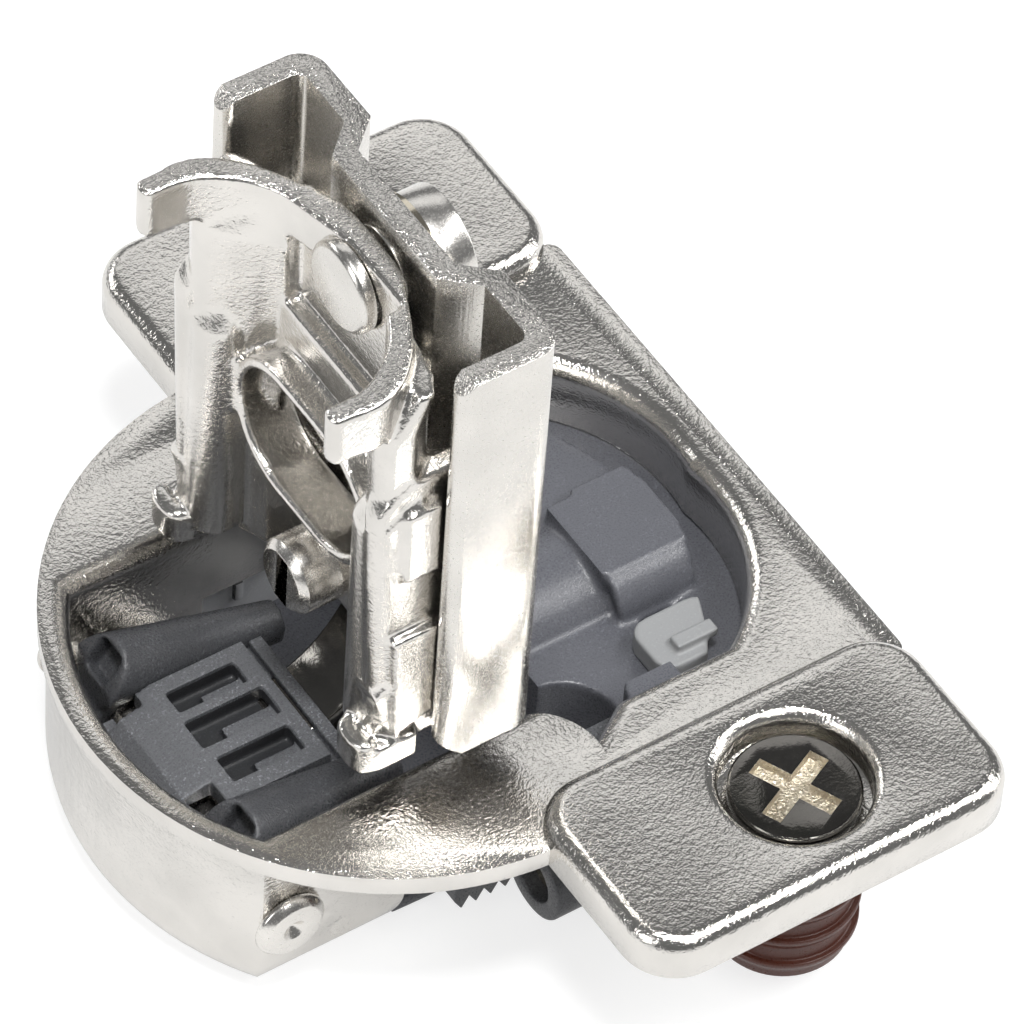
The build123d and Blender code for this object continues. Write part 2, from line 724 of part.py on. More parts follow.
def make_dowel(side):
    """A split dowel with ribs that lean towards its head, spread by the screw in its bore."""
    body = upright(dowel_radius, -dowel_length, 0)
    for k in range(dowel_rib_count):
        foot = -dowel_collar - dowel_rib_pitch * k
        flank = Cone(dowel_radius - 0.1, dowel_hole_radius, dowel_rib_height, align=on_foot)
        body += Location((0, 0, foot)) * flank
        body += upright(dowel_hole_radius, foot + dowel_rib_height, foot + dowel_rib_height + dowel_rib_land)
    tip = [e for e in body.edges() if e.center().Z < -dowel_length + 0.01]
    body = chamfer(tip, 0.6)
    body -= block(-6, 6, -dowel_split / 2, dowel_split / 2, -dowel_length - 1, -dowel_collar)
    body -= upright(screw_shank_radius + screw_clearance, -dowel_length - 1, 1)
    return dowel_place(side) * body


def make_dowel_screw(side):
    top = screw_seat_floor + screw_head_height
    head = upright(screw_head_radius, screw_seat_floor, top)
    rim = [e for e in head.edges() if e.center().Z > top - 0.01]
    head = chamfer(rim, 0.15)
    half, width = screw_recess_half, screw_recess_width / 2
    floor = top - screw_recess_depth
    cross = block(-half, half, -width, width, floor, top + 1)
    cross += block(-width, width, -half, half, floor, top + 1)
    shank = upright(screw_shank_radius, screw_seat_floor - screw_length - screw_head_height, screw_seat_floor)
    return dowel_place(side) * Rot(0, 0, screw_turn) * ((head - cross) + shank)


pieces = {
    "cup": make_cup,
    "outer_axle": make_outer_axle,
    "inner_axle": make_inner_axle,
    "outer_link": make_outer_link,
    "inner_link": make_inner_link,
    "link_cover": make_link_cover,
    "cam_arm_near": lambda: make_cam_arm(near),
    "cam_arm_far": lambda: make_cam_arm(far),
    "closing_spring": make_closing_spring,
    "arm_channel": make_arm,
    "arm_pin_outer": make_arm_pin_outer,
    "arm_pin_inner": make_arm_pin_inner,
    "mounting_plate": make_mounting_plate,
    "plate_stud": make_plate_stud,
    "eccentric": make_eccentric,
    "wave_washer": make_wave_washer,
    "damper_housing": make_damper_housing,
    "damper_plunger": make_damper_plunger,
    "soft_close_switch": make_soft_close_switch,
    "damper_tube_near": lambda: make_damper_tube(near),
    "damper_tube_far": lambda: make_damper_tube(far),
    "damper_rod_near": lambda: make_damper_rod(near),
    "damper_rod_far": lambda: make_damper_rod(far),
    "damper_clip_near": lambda: make_damper_clip(near),
    "damper_clip_far": lambda: make_damper_clip(far),
    "dowel_near": lambda: make_dowel(near),
    "dowel_far": lambda: make_dowel(far),
    "dowel_screw_near": lambda: make_dowel_screw(near),
    "dowel_screw_far": lambda: make_dowel_screw(far),
}


def main():
    os.makedirs("parts", exist_ok=True)
    for name, make in pieces.items():
        solid = make()
        print(name, type(solid).__name__, len(solid.solids()), round(solid.volume, 2))
        export_step(solid, f"parts/{name}.step")


main()
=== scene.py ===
import bpy, bmesh, json, math
from mathutils import Matrix, Vector

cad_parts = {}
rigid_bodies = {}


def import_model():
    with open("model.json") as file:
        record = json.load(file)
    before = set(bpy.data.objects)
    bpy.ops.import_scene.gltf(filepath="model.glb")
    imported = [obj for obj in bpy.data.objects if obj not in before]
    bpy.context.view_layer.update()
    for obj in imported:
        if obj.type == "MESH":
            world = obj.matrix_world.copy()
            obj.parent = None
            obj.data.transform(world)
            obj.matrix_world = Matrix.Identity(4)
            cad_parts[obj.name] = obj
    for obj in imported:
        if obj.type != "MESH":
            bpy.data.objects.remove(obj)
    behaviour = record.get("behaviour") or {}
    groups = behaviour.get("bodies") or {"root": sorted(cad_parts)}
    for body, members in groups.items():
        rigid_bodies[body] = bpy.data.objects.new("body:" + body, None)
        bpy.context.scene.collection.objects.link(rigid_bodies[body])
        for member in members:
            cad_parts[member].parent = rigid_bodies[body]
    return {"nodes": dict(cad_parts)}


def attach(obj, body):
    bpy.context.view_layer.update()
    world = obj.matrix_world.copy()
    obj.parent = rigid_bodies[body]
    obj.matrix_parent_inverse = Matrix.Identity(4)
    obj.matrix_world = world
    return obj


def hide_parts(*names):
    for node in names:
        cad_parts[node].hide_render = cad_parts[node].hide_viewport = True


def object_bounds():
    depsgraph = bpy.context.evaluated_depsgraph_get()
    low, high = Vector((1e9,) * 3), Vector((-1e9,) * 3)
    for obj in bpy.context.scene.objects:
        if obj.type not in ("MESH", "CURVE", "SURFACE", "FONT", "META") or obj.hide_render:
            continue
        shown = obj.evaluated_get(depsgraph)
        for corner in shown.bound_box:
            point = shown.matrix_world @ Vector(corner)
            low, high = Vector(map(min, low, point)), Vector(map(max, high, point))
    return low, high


mm = 0.001
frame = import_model()
nodes = frame["nodes"]
cadLow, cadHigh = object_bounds()
print("loaded", len(nodes), "nodes")


# the finishes are noise on Object coordinates, with sizes in mm
def newMaterial(name):
    material = bpy.data.materials.new(name)
    material.use_nodes = True
    tree = material.node_tree
    tree.nodes.clear()
    shader = tree.nodes.new("ShaderNodeBsdfPrincipled")
    output = tree.nodes.new("ShaderNodeOutputMaterial")
    tree.links.new(shader.outputs["BSDF"], output.inputs["Surface"])
    coords = tree.nodes.new("ShaderNodeTexCoord")
    return material, tree, shader, coords.outputs["Object"]


def stretched(tree, vector, scale):
    mapping = tree.nodes.new("ShaderNodeMapping")
    mapping.inputs["Scale"].default_value = scale
    tree.links.new(vector, mapping.inputs["Vector"])
    return mapping.outputs["Vector"]


def noiseNode(tree, vector, perMm, detail=2.0, rough=0.5, distort=0.0):
    node = tree.nodes.new("ShaderNodeTexNoise")
    node.inputs["Scale"].default_value = perMm / mm
    node.inputs["Detail"].default_value = detail
    node.inputs["Roughness"].default_value = rough
    node.inputs["Distortion"].default_value = distort
    tree.links.new(vector, node.inputs["Vector"])
    return node.outputs["Fac"]


def ranged(tree, value, low, high, fromLow=0.3, fromHigh=0.7):
    node = tree.nodes.new("ShaderNodeMapRange")
    node.inputs["From Min"].default_value = fromLow
    node.inputs["From Max"].default_value = fromHigh
    node.inputs["To Min"].default_value = low
    node.inputs["To Max"].default_value = high
    tree.links.new(value, node.inputs["Value"])
    return node.outputs["Result"]


def blendColours(tree, factor, first, second):
    node = tree.nodes.new("ShaderNodeMix")
    node.data_type = "RGBA"
    tree.links.new(factor, node.inputs["Factor"])
    node.inputs["A"].default_value = (*first, 1)
    node.inputs["B"].default_value = (*second, 1)
    return node.outputs["Result"]


def bumped(tree, height, depthMm, under=None):
    node = tree.nodes.new("ShaderNodeBump")
    node.inputs["Strength"].default_value = 1.0
    node.inputs["Distance"].default_value = depthMm * mm
    tree.links.new(height, node.inputs["Height"])
    if under is not None:
        tree.links.new(under, node.inputs["Normal"])
    return node.outputs["Normal"]


nickelLook = {
    "bright": (0.80, 0.775, 0.735), "dull": (0.70, 0.68, 0.645), "cloudPerMm": 0.25,
    "grainPerMm": 3.4, "grainDepth": 0.035,
    "pitPerMm": 8.0, "pitDepth": 0.02, "leastPits": 0.15,
    "linePerMm": 1.6, "lineStretch": (6, 1, 0.12),  # drawn lines run up the metal
    "smooth": 0.10, "rough": 0.19,
}
yellowed = dict(nickelLook, bright=(0.66, 0.60, 0.49), dull=(0.5, 0.45, 0.36))
# dark nickel colours; on the links this darkness is painted shade for the shade they lie in inside the arm
darkNickelColours = dict(nickelLook, bright=(0.22, 0.21, 0.195), dull=(0.13, 0.125, 0.115))
strawSteel = dict(nickelLook, bright=(0.72, 0.66, 0.54), dull=(0.6, 0.55, 0.45))


def nickel(name, grain=1.0, satin=0.0, look=nickelLook, scratch=0.0):
    material, tree, shader, place = newMaterial(name)
    cloud = noiseNode(tree, place, look["cloudPerMm"], 3.0)
    colour = blendColours(tree, ranged(tree, cloud, 0, 1), look["bright"], look["dull"])
    tree.links.new(colour, shader.inputs["Base Color"])
    peel = noiseNode(tree, place, look["grainPerMm"], 2.5, 0.55, 0.4)
    pits = noiseNode(tree, place, look["pitPerMm"])
    normal = bumped(tree, peel, look["grainDepth"] * grain)
    normal = bumped(tree, pits, look["pitDepth"] * max(grain, look["leastPits"]), normal)
    if scratch:
        lines = noiseNode(tree, stretched(tree, place, look["lineStretch"]), look["linePerMm"])
        normal = bumped(tree, lines, scratch, normal)
    tree.links.new(normal, shader.inputs["Normal"])
    roughness = ranged(tree, pits, look["smooth"] + satin, look["rough"] + satin)
    tree.links.new(roughness, shader.inputs["Roughness"])
    shader.inputs["Metallic"].default_value = 1.0
    return material


plasticLook = {
    "sparkPerMm": 9.0, "sparkDepth": 0.02, "smoother": 0.1, "rougher": 0.12,
    "glintFleckPerMm": 7.0, "glintFleckRange": (0.58, 0.7), "glintLighter": 2.2,  # pale specks painted into the colour as painted glints, gathered in patches
    "patchPerMm": 0.55, "patchRange": (0.4, 0.6), "patchLeast": 0.1, "patchMost": 0.45,
}


def mouldedPlastic(name, colour, spark, roughness, look=plasticLook):
    material, tree, shader, place = newMaterial(name)
    # painted glints: pale specks are painted into the colour to stand in for sparkle
    flecks = ranged(tree, noiseNode(tree, place, look["glintFleckPerMm"], 1.0), 0, 1, *look["glintFleckRange"])
    gathered = noiseNode(tree, place, look["patchPerMm"])
    most = min(1.0, look["patchMost"] * spark)
    patches = ranged(tree, gathered, look["patchLeast"], most, *look["patchRange"])
    share = tree.nodes.new("ShaderNodeMath")
    share.operation = "MULTIPLY"
    tree.links.new(flecks, share.inputs[0])
    tree.links.new(patches, share.inputs[1])
    # the colour of the painted glints
    pale = [look["glintLighter"] * part for part in colour]
    tree.links.new(blendColours(tree, share.outputs[0], colour, pale), shader.inputs["Base Color"])
    spots = noiseNode(tree, place, look["sparkPerMm"], 2.0, 0.6)
    tree.links.new(bumped(tree, spots, look["sparkDepth"] * spark), shader.inputs["Normal"])
    sheen = ranged(tree, spots, roughness - look["smoother"], roughness + look["rougher"])
    tree.links.new(sheen, shader.inputs["Roughness"])
    return material


finishes = {
    "nickel": nickel("stampedNickel"),
    "pressedNickel": nickel("pressedNickel", grain=0.75, satin=0.05),
    "shearedNickel": nickel("shearedNickel", grain=2.0, satin=0.08),
    "satinNickel": nickel("rolledNickel", grain=0.12, satin=0.1, scratch=0.005),
    "brightNickel": nickel("brightNickel", grain=5.0, satin=0.16, look=yellowed),
    "darkNickel": nickel("darkNickel", grain=0.3, look=darkNickelColours),
    "springSteel": nickel("springSteel", grain=0.1, look=strawSteel),
    "coverPlastic": mouldedPlastic("coverPlastic", (0.132, 0.136, 0.146), spark=2.2, roughness=0.3),
    "darkPlastic": mouldedPlastic("darkPlastic", (0.068, 0.07, 0.076), spark=1.8, roughness=0.3),
    # painted shade: the pockets of the link cover get this darker plastic
    "pocketPlastic": mouldedPlastic("pocketPlastic", (0.03, 0.031, 0.034), spark=1.0, roughness=0.4),
    "housingPlastic": mouldedPlastic("housingPlastic", (0.1, 0.103, 0.117), spark=0.8, roughness=0.3),
    "switchPlastic": mouldedPlastic("switchPlastic", (0.28, 0.285, 0.29), spark=0.15, roughness=0.36),
    # painted light: this pale plastic on the far clip's inner face stands in for light falling on it
    "palePlastic": mouldedPlastic("palePlastic", (0.6, 0.61, 0.63), spark=0.0, roughness=0.4),
    "dowelPlastic": mouldedPlastic("dowelPlastic", (0.085, 0.022, 0.012), spark=0.3, roughness=0.33),
}

nodeFinish = {
    "cup": "nickel", "mounting_plate": "nickel",
    "arm_channel": "satinNickel", "plate_stud": "satinNickel", "eccentric": "satinNickel",
    "outer_axle": "satinNickel", "inner_axle": "satinNickel",
    "arm_pin_outer": "satinNickel", "arm_pin_inner": "satinNickel",
    "wave_washer": "springSteel", "closing_spring": "springSteel",
    "damper_rod_near": "springSteel", "damper_rod_far": "springSteel",
    # painted shade: the links get the dark nickel, which stands in for the shade they lie in inside the arm
    "outer_link": "darkNickel", "inner_link": "darkNickel",
    "dowel_screw_near": "darkNickel", "dowel_screw_far": "darkNickel",
    "link_cover": "coverPlastic", "cam_arm_near": "darkPlastic", "cam_arm_far": "darkPlastic",
    "damper_housing": "housingPlastic", "damper_plunger": "housingPlastic",
    "soft_close_switch": "switchPlastic",
    "damper_tube_near": "darkPlastic", "damper_tube_far": "darkPlastic",
    "damper_clip_near": "darkPlastic", "damper_clip_far": "darkPlastic",
    "dowel_near": "dowelPlastic", "dowel_far": "dowelPlastic",
}
for node, finish in nodeFinish.items():
    data = nodes[node].data
    data.materials.clear()
    data.materials.append(finishes[finish])
print("mixed", len(finishes), "finishes")


def bodyOf(node):
    return nodes[node].parent.name.split(":")[1]


def stands(piece, node):
    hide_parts(node)
    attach(piece, bodyOf(node))


def linked(name, data):
    holder = bpy.data.objects.new(name, data)
    bpy.context.scene.collection.objects.link(holder)
    return holder


def smoothShaded(name, mesh, sharpAngle):
    mesh.shade_smooth()
    mesh.set_sharp_from_angle(angle=math.radians(sharpAngle))
    return linked(name, mesh)


def meshObject(name, bm, finish, sharpAngle=40):
    mesh = bpy.data.meshes.new(name)
    bm.to_mesh(mesh)
    bm.free()
    mesh.materials.append(finishes[finish])
    return smoothShaded(name, mesh, sharpAngle)


mergeLook = {"doubles": 0.002, "flatAngle": 0.6}


# a copy of a solid with its doubles merged and its flat faces whole again
def solidFrom(node, look=mergeLook):
    bm = bmesh.new()
    bm.from_mesh(nodes[node].data)
    bmesh.ops.remove_doubles(bm, verts=bm.verts, dist=look["doubles"] * mm)
    flatAngle = math.radians(look["flatAngle"])
    bmesh.ops.dissolve_limit(bm, angle_limit=flatAngle, verts=bm.verts, edges=bm.edges)
    return bm


def middleAndRun(edge):
    start, end = (vert.co for vert in edge.verts)
    return (start + end) / 2 / mm, (end - start) / mm


def roundEdges(bm, width, segments=2, angle=28, wanted=None):
    sharp = math.radians(angle)
    edges = [e for e in bm.edges if len(e.link_faces) == 2 and e.calc_face_angle(0) > sharp]
    if wanted:
        edges = [e for e in edges if wanted(*middleAndRun(e))]
    bmesh.ops.bevel(bm, geom=edges, offset=width * mm, offset_type="OFFSET", segments=segments,
                    profile=0.5, affect="EDGES", clamp_overlap=True, material=-1)


softened = {  # how far the edges of each piece are rounded, in mm
    "cup": 0.25, "arm_channel": 0.28, "outer_axle": 0.08, "outer_link": 0.2,
    "inner_link": 0.15, "damper_tube_near": 0.15, "damper_tube_far": 0.15, "damper_clip_near": 0.12,
    "plate_stud": 0.12, "eccentric": 0.1, "dowel_near": 0.12, "dowel_far": 0.12,
    "dowel_screw_near": 0.08, "dowel_screw_far": 0.08,
}


# the faces that a test of their normal and their middle, in mm, picks out get another finish
def repaint(piece, finish, wanted):
    piece.data.materials.append(finishes[finish])
    for face in piece.data.polygons:
        if wanted(face.normal, face.center / mm):
            face.material_index = len(piece.data.materials) - 1


# the top edges were cut from the sheet, and are coarser than its faces
def shearTops(piece, lowest, upright=0.93):
    repaint(piece, "shearedNickel",
            lambda normal, middle: normal.z > upright and middle.z > lowest)


recessLook = {"top": 1.72, "bottom": 0.95, "reach": 2.6}


# the walls and floor of a screw's recess are bare and bright
def brightRecess(piece, look=recessLook):
    vertices = piece.data.vertices
    axis = sum((v.co for v in vertices), Vector()) / len(vertices) / mm
    repaint(piece, "brightNickel", lambda normal, middle: look["bottom"] < middle.z < look["top"]
            and (middle - axis).xy.length < look["reach"])


seatLook = {
    "x": 11.0, "y": 21.0, "radius": 3.95, "top": 2.6, "roll": 0.85, "segments": 5,
    "radiusSlack": 0.15, "topSlack": 0.05,
}
foldLook = {
    "roll": 0.6, "segments": 4, "angle": 60, "longerThan": 6, "outside": 8,
    "topsAbove": 30.6, "upright": 0.6,  # takes in the cut corners of the flanges
}


# the rims of the two screw seats in the ears
def onSeatRim(middle, run, look=seatLook):
    across = math.hypot(middle.x - look["x"], abs(middle.y) - look["y"])
    high = middle.z > look["top"] - look["topSlack"]
    return high and abs(across - look["radius"]) < look["radiusSlack"]


# the long upright folds at the outside of the arm
def upTheArm(middle, run, look=foldLook):
    return abs(run.z) > look["longerThan"] and abs(middle.y) > look["outside"]


for node, width in softened.items():
    bm = solidFrom(node)
    if node == "cup":
        roundEdges(bm, seatLook["roll"], seatLook["segments"], wanted=onSeatRim)
    if node == "arm_channel":
        roundEdges(bm, foldLook["roll"], foldLook["segments"], foldLook["angle"], upTheArm)
    roundEdges(bm, width)
    piece = meshObject(node + "_dressed", bm, nodeFinish[node])
    if node == "arm_channel":
        shearTops(piece, foldLook["topsAbove"], foldLook["upright"])
    if node.startswith("dowel_screw"):
        brightRecess(piece)
    stands(piece, node)
print("dressed", len(softened), "pieces")


# Lumps are added to a solid, and grownSkin turns them all into one smooth skin.
# Each closed lump lies between two outlines of as many points, in mm.
def closedLump(bm, ends):
    caps = [bm.faces.new([bm.verts.new(Vector(point) * mm) for point in end]) for end in ends]
    rims = [edge for cap in caps for edge in cap.edges]
    sides = bmesh.ops.bridge_loops(bm, edges=rims)["faces"]
    bmesh.ops.recalc_face_normals(bm, faces=caps + sides)


# an upright lump over an XY outline, which may start from another outline at its foot
def standingLump(bm, outline, low, high, foot=None):
    closedLump(bm, ([(x, y, low) for x, y in foot or outline], [(x, y, high) for x, y in outline]))


# a lump along X over a YZ outline, with ends that depend on y
def lyingLump(bm, outline, frontAt, backAt):
    front = [(frontAt(y), y, z) for y, z in outline]
    back = [(backAt(y), y, z) for y, z in outline]
    closedLump(bm, (front, back))


# points round a circle, or along an arc of it from start to end
def ringOf(across, up, radius, count=28, start=0, end=360):
    span = end - start
    angles = [math.radians(start + span * k / count) for k in range(count + (span < 360))]
    return [(across + radius * math.cos(a), up + radius * math.sin(a)) for a in angles]


def boxLump(bm, box):
    x0, x1, y0, y1, z0, z1 = box
    standingLump(bm, [(x0, y0), (x1, y0), (x1, y1), (x0, y1)], z0, z1)


def grownSkin(name, bm, finish, voxel, smoothing, cuts=(), sharpAngle=50):
    piece = meshObject(name + "_lump", bm, finish)
    tools = []
    for box in cuts:
        tool = bmesh.new()
        boxLump(tool, box)
        tools.append(meshObject(name + "_cut", tool, finish))
        cut = piece.modifiers.new("cut", "BOOLEAN")
        cut.operation, cut.object, cut.solver = "DIFFERENCE", tools[-1], "EXACT"
    remesh = piece.modifiers.new("remesh", "REMESH")
    remesh.mode = "VOXEL"
    remesh.voxel_size = voxel * mm
    soften = piece.modifiers.new("soften", "SMOOTH")
    soften.iterations, soften.factor = smoothing, 0.5
    graph = bpy.context.evaluated_depsgraph_get()
    skin = bpy.data.meshes.new_from_object(piece.evaluated_get(graph))
    for lump in [piece] + tools:
        bpy.data.objects.remove(lump)
    skin.name = name
    return smoothShaded(name, skin, sharpAngle)


plateLook = {
    "voxel": 0.17, "smoothing": 8, "overlap": 0.1, "shearedAbove": 29.6,
    # the wings spring from the arch: an outline (x, y) at their top and one at their foot
    "wingRoot": [(-3.9, 4.2), (-4.8, 5.2), (-5.8, 6.2), (-6.7, 7.2), (-7.0, 8.2), (-6.5, 9.2),
                 (-5.2, 9.3), (-3.9, 8.2), (-3.0, 6.0)],
    "rootFoot": [(-3.4, 4.9), (-4.2, 5.6), (-5.2, 6.3), (-6.2, 7.2), (-6.8, 8.2), (-6.4, 9.2),
                 (-5.0, 9.4), (-3.8, 8.4), (-3.0, 6.2)],
    "rootLow": 11.0, "rootHigh": 26.6, "crestBack": -3.2, "crestHigh": 29.2,
    "shelf": [(-4.05, 4.7), (-3.0, 0.4), (-2.4, 0.4), (-2.4, 4.7)], "shelfLow": 27.4, "shelfHigh": 30.15,
    # the legs are rolled: x, y and radius, with a narrower crown
    "roll": (-5.6, 7.5, 1.55), "rollLow": 4.2, "rollHigh": 21.5,
    "crownHeight": 2.0, "crownBack": 0.5, "crownNarrower": 0.6, "crownOverlap": 0.01,
    # the feet of the stamping are pulled in, and end in curled toes
    "toeRoot": (-5.6, 7.6, 7.0), "toeShrink": (0.68, 0.65), "toeLow": 2.95, "toeHigh": 4.75, "tipHigh": 5.1,
    "toe": [(-8.1, 8.1), (-7.7, 7.5), (-7.0, 7.3), (-4.6, 7.3), (-4.6, 10.2), (-7.0, 10.2),
            (-7.7, 10.0), (-8.1, 9.4)],
    "tip": [(-8.15, 8.3), (-7.9, 7.7), (-7.3, 7.4), (-7.0, 7.9), (-7.3, 8.4), (-7.3, 9.2),
            (-7.0, 9.6), (-7.3, 10.1), (-7.9, 9.9), (-8.15, 9.2)],
    # guide lugs that run in the arm, as outlines (x, z)
    "guides": [[(-7.0, 20.8), (-4.9, 22.2), (-4.0, 18.9), (-6.1, 17.3)],
               [(-7.1, 8.2), (-4.7, 9.9), (-3.8, 6.5), (-6.1, 4.4)]],
    "guideAcross": (8.3, 9.7),
}


def pullFeetIn(bm, look=plateLook):
    rootX, rootY, rootZ = (size * mm for size in look["toeRoot"])
    alongX, alongZ = look["toeShrink"]
    low = look["toeLow"] * mm
    for point in (v.co for v in bm.verts):
        if point.x < rootX and abs(point.y) > rootY and point.z < rootZ:
            point.x = rootX + (point.x - rootX) * alongX
            point.z = low + (point.z - low) * alongZ


def onSide(outline, side):
    return [(x, side * y) for x, y in outline]


def makeWing(bm, root, foot, look=plateLook):
    standingLump(bm, root, look["rootLow"], look["rootHigh"], foot)
    crest = [((x + look["crestBack"]) / 2, y) for x, y in root]
    standingLump(bm, crest, look["rootHigh"] - look["overlap"], look["crestHigh"], root)


def makeLeg(bm, side, look=plateLook):
    x, y, radius = look["roll"]
    roll = ringOf(x, side * y, radius)
    crown = ringOf(x + look["crownBack"], side * y, radius - look["crownNarrower"])
    shoulder = look["rollHigh"] - look["crownHeight"]
    standingLump(bm, roll, look["rollLow"], shoulder)
    standingLump(bm, crown, shoulder - look["crownOverlap"], look["rollHigh"], roll)


def makePlate(look=plateLook):
    bm = solidFrom("mounting_plate")
    pullFeetIn(bm)
    for side in (1, -1):
        root, foot, toe, tip = (onSide(look[key], side) for key in ("wingRoot", "rootFoot", "toe", "tip"))
        makeWing(bm, root, foot)
        for guide in look["guides"]:
            closedLump(bm, [[(x, side * y, z) for x, z in guide] for y in look["guideAcross"]])
        standingLump(bm, toe, look["toeLow"], look["toeHigh"])
        standingLump(bm, tip, look["toeLow"], look["tipHigh"])
        makeLeg(bm, side)
    standingLump(bm, look["shelf"], look["shelfLow"], look["shelfHigh"])
    return grownSkin("mounting_plate_skin", bm, "pressedNickel", look["voxel"], look["smoothing"])


plate = makePlate()
shearTops(plate, plateLook["shearedAbove"])
stands(plate, "mounting_plate")
print("plate grown")

housingLook = {
    "voxel": 0.2, "smoothing": 4,
    # the rounded block in the window, drawn across (y, z) and run out to the rim
    "far": 3.1, "near": -2.0, "round": 2.4, "top": -1.0, "floor": -3.4, "sunk": 0.5,
    "rim": 17.2, "stepFront": 11.9, "stepBow": 0.03,
    "barrel": (0, -5.6, 4.15), "barrelFront": 6.3, "barrelInto": 1.0,  # y, z and radius
    "tray": [(-5.2, -9.6), (6.6, -10.2), (6.6, 10.7), (-5.2, 10.7)], "trayLow": -10.5, "trayHigh": -9.6,
    "skirtInner": 14.0, "skirtOuter": 17.2, "skirtCentre": 2.3, "skirtSpan": 42,
    "skirtLow": -4.6, "skirtHigh": -3.2,
}


def makeBlock(bm, look=housingLook):
    foot = look["floor"] - look["sunk"]
    front = look["near"] - look["round"]
    turn = ringOf(look["near"], look["floor"], look["round"], 10, 90, 180)
    block = [(look["far"], foot), (look["far"], look["top"])] + turn + [(front, foot)]
    lyingLump(bm, block, lambda y: look["stepFront"] + look["stepBow"] * (y - front) ** 2,
              lambda y: math.sqrt(look["rim"] ** 2 - y * y))


def makeSkirt(bm, look=housingLook):
    span = look["skirtSpan"]
    outer = ringOf(look["skirtCentre"], 0, look["skirtOuter"], 40, -span, span)
    inner = ringOf(look["skirtCentre"], 0, look["skirtInner"], 40, span, -span)
    standingLump(bm, outer + inner, look["skirtLow"], look["skirtHigh"])


def makeHousing(look=housingLook):
    bm = solidFrom("damper_housing")
    makeBlock(bm)
    lyingLump(bm, ringOf(*look["barrel"], 36), lambda y: look["barrelFront"],
              lambda y: look["stepFront"] + look["barrelInto"])
    standingLump(bm, look["tray"], look["trayLow"], look["trayHigh"])
    makeSkirt(bm)
    return grownSkin("damper_housing_skin", bm, "housingPlastic", look["voxel"], look["smoothing"])


stands(makeHousing(), "damper_housing")

clipLook = {  # boxes are x, y and z, each from and to
    "block": (-6.6, 3.0, 10.5, 12.2, -10.3, -0.3), "slot": (-2.4, -1.9, 10.0, 10.9, -7.6, -6.2),
    "voxel": 0.16, "smoothing": 3, "paintedLightWithin": 11.0,
}


# the face of the far clip that looks into the cup is painted pale as painted light; the clip itself is dark
# plastic
def onInnerFace(normal, middle, look=clipLook):
    return normal.y < -0.5 and middle.y < look["paintedLightWithin"]


def makeClip(look=clipLook):
    bm = solidFrom("damper_clip_far")
    boxLump(bm, look["block"])
    cuts = [look["slot"]]
    clip = grownSkin("damper_clip_far_skin", bm, "darkPlastic", look["voxel"], look["smoothing"], cuts)
    # painted light: the inner face is painted pale
    repaint(clip, "palePlastic", onInnerFace)
    return clip


stands(makeClip(), "damper_clip_far")
print("housing and clip grown")

coverLook = {
    # each pocket is x and y, from and to, with a step of stepX by a share stepY of its width
    "pockets": [(-10.95, -6.65, -3.3, -1.5), (-11.15, -6.45, -0.7, 1.3), (-10.95, -6.85, 1.9, 3.4)],
    "stepX": 1.7, "stepY": 0.55, "deep": -3.7, "floor": -3.3, "top": -2.0,
    "paintBelow": -2.85, "paintSlack": 0.1,
    "groove": (-5.75, -5.35, -4.6, 4.6, -3.4, -2.0), "slab": (-5.5, -4.0, -4.6, 4.6, -2.85, -2.0),
    "notch": (-16.0, -12.2, 3.5, 4.6, -4.0, -2.0), "scoop": (-13.6, -11.9, -4.6, -2.6, -5.0, -2.0),
}


def coverCuts(look=coverLook):
    cuts = [look[key] for key in ("groove", "slab", "notch", "scoop")]
    for x0, x1, y0, y1 in look["pockets"]:
        wall = y0 + look["stepY"] * (y1 - y0)
        cuts.append((x0, x1, wall, y1, look["deep"], look["top"]))
        cuts.append((x0, x0 + look["stepX"], y0, y1, look["deep"], look["top"]))
        cuts.append((x0, x1, y0, y1, look["floor"], look["top"]))
    return cuts


# the walls of the pockets and their deep floors, but not the step or the bars between them, are painted
# darker as painted shade
def inPocket(normal, middle, look=coverLook):
    slack = look["paintSlack"]
    inside = any(x0 - slack < middle.x < x1 + slack and y0 - slack < middle.y < y1 + slack
                 for x0, x1, y0, y1 in look["pockets"])
    step = normal.z > 0.5 and middle.z > look["floor"] - 1.5 * slack
    return inside and look["deep"] - 2 * slack < middle.z < look["paintBelow"] and not step


moulded = {  # voxel in mm and rounds of smoothing
    "link_cover": (0.1, 3), "cam_arm_near": (0.14, 5), "cam_arm_far": (0.14, 5),
    "soft_close_switch": (0.11, 5),
}
for node, (voxel, smoothing) in moulded.items():
    cuts = coverCuts() if node == "link_cover" else ()
    piece = grownSkin(node + "_skin", solidFrom(node), nodeFinish[node], voxel, smoothing, cuts)
    if node == "link_cover":
        # painted shade: the pockets are painted darker
        repaint(piece, "pocketPlastic", inPocket)
    stands(piece, node)
print("moulded pieces grown")

stageLook = {
    "floorSize": 4.0, "floorColour": 0.36, "floorRough": 0.8, "floorDrop": 0.02,
    "seenGlow": 0.75, "mirrorGlow": 0.5,  # what the camera and the metal see of the pale floor
}


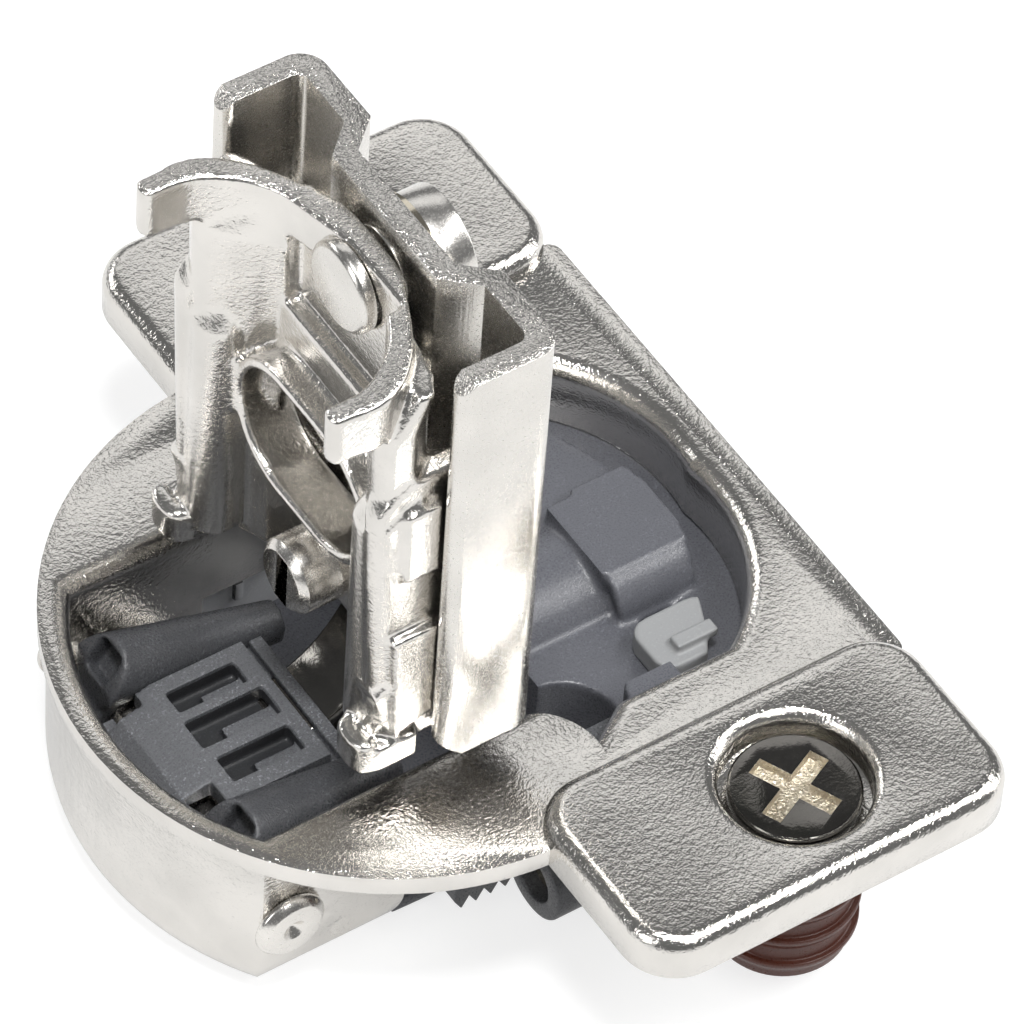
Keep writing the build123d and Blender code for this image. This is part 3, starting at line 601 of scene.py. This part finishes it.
def makeFloor(look=stageLook):
    bm = bmesh.new()
    bmesh.ops.create_circle(bm, cap_ends=True, radius=look["floorSize"] / 2, segments=96)
    bmesh.ops.translate(bm, verts=bm.verts, vec=(0, 0, cadLow.z - look["floorDrop"] * mm))
    material, tree, shader = newMaterial("paleFloor")[:3]
    shader.inputs["Base Color"].default_value = (look["floorColour"],) * 3 + (1,)
    shader.inputs["Roughness"].default_value = look["floorRough"]
    path = tree.nodes.new("ShaderNodeLightPath")
    glow = None
    for ray, strength in (("Is Camera Ray", look["seenGlow"]), ("Is Glossy Ray", look["mirrorGlow"])):
        share = tree.nodes.new("ShaderNodeMath")
        share.operation = "MULTIPLY_ADD"
        tree.links.new(path.outputs[ray], share.inputs[0])
        share.inputs[1].default_value = strength
        share.inputs[2].default_value = 0
        if glow:
            tree.links.new(glow, share.inputs[2])
        glow = share.outputs[0]
    shader.inputs["Emission Color"].default_value = (1, 1, 1, 1)
    tree.links.new(glow, shader.inputs["Emission Strength"])
    mesh = bpy.data.meshes.new("floor")
    bm.to_mesh(mesh)
    bm.free()
    mesh.materials.append(material)
    linked("floor", mesh)


makeFloor()

lamps = {  # direction seen from the hinge, distance, width and height in metres, radiance
    "backPanel": ((0.39, 0.69, 0.60), 0.9, (0.6, 0.42), 0.82),
    "topStrip": ((0.385, -0.42, 0.82), 0.8, (0.9, 0.1), 16.0),
    "leftPanel": ((-0.86, -0.1, 0.5), 0.9, (0.3, 0.5), 4.0),
    "rightStrip": ((0.88, -0.35, 0.42), 0.9, (0.16, 0.6), 7.0),
    "farStrip": ((-0.35, 0.9, 0.4), 0.9, (0.6, 0.15), 5.0),
    "keyLamp": ((-0.12, -0.2, 0.97), 0.8, (0.15, 0.15), 60.0),
}
aim = (cadLow + cadHigh) / 2
for name, (way, distance, size, radiance) in lamps.items():
    lamp = bpy.data.lights.new(name, "AREA")
    lamp.shape = "RECTANGLE"
    lamp.size, lamp.size_y = size
    lamp.energy = radiance * math.pi * size[0] * size[1]
    holder = linked(name, lamp)
    holder.location = aim + Vector(way).normalized() * distance
    holder.rotation_euler = Vector(way).to_track_quat("Z", "Y").to_euler()

skyLook = {"colour": (0.97, 0.985, 1.0, 1), "strength": 0.16}
world = bpy.data.worlds.new("studio")
bpy.context.scene.world = world
world.use_nodes = True
sky = world.node_tree.nodes["Background"]
sky.inputs["Color"].default_value = skyLook["colour"]
sky.inputs["Strength"].default_value = skyLook["strength"]

cameraLook = {
    "azimuth": -36.59, "elevation": 49.78, "roll": 4.26,  # degrees
    "distance": 424.12, "lens": 291.8, "sensor": 36,  # mm
    "clip": (0.01, 20),  # metres
    "aside": (-6.588, 5.486),  # where the origin sits, right of and below the middle of the view, in mm
}


def makeCamera(look=cameraLook):
    azimuth, elevation, roll = (math.radians(look[key]) for key in ("azimuth", "elevation", "roll"))
    flat = math.cos(elevation)
    back = Vector((math.sin(azimuth) * flat, -math.cos(azimuth) * flat, math.sin(elevation)))
    level = Vector((math.cos(azimuth), math.sin(azimuth), 0))
    upright = back.cross(level)
    right = math.cos(roll) * level + math.sin(roll) * upright
    down = math.sin(roll) * level - math.cos(roll) * upright
    place = look["distance"] * back - look["aside"][0] * right - look["aside"][1] * down
    turn = Matrix((right, -down, back)).transposed().to_4x4()
    data = bpy.data.cameras.new("camera")
    data.lens = look["lens"]
    data.sensor_width = look["sensor"]
    data.clip_start, data.clip_end = look["clip"]
    camera = linked("camera", data)
    camera.matrix_world = Matrix.Translation(place * mm) @ turn
    bpy.context.scene.camera = camera


makeCamera()
bpy.context.scene.view_settings.view_transform = "Standard"
print("stage set")
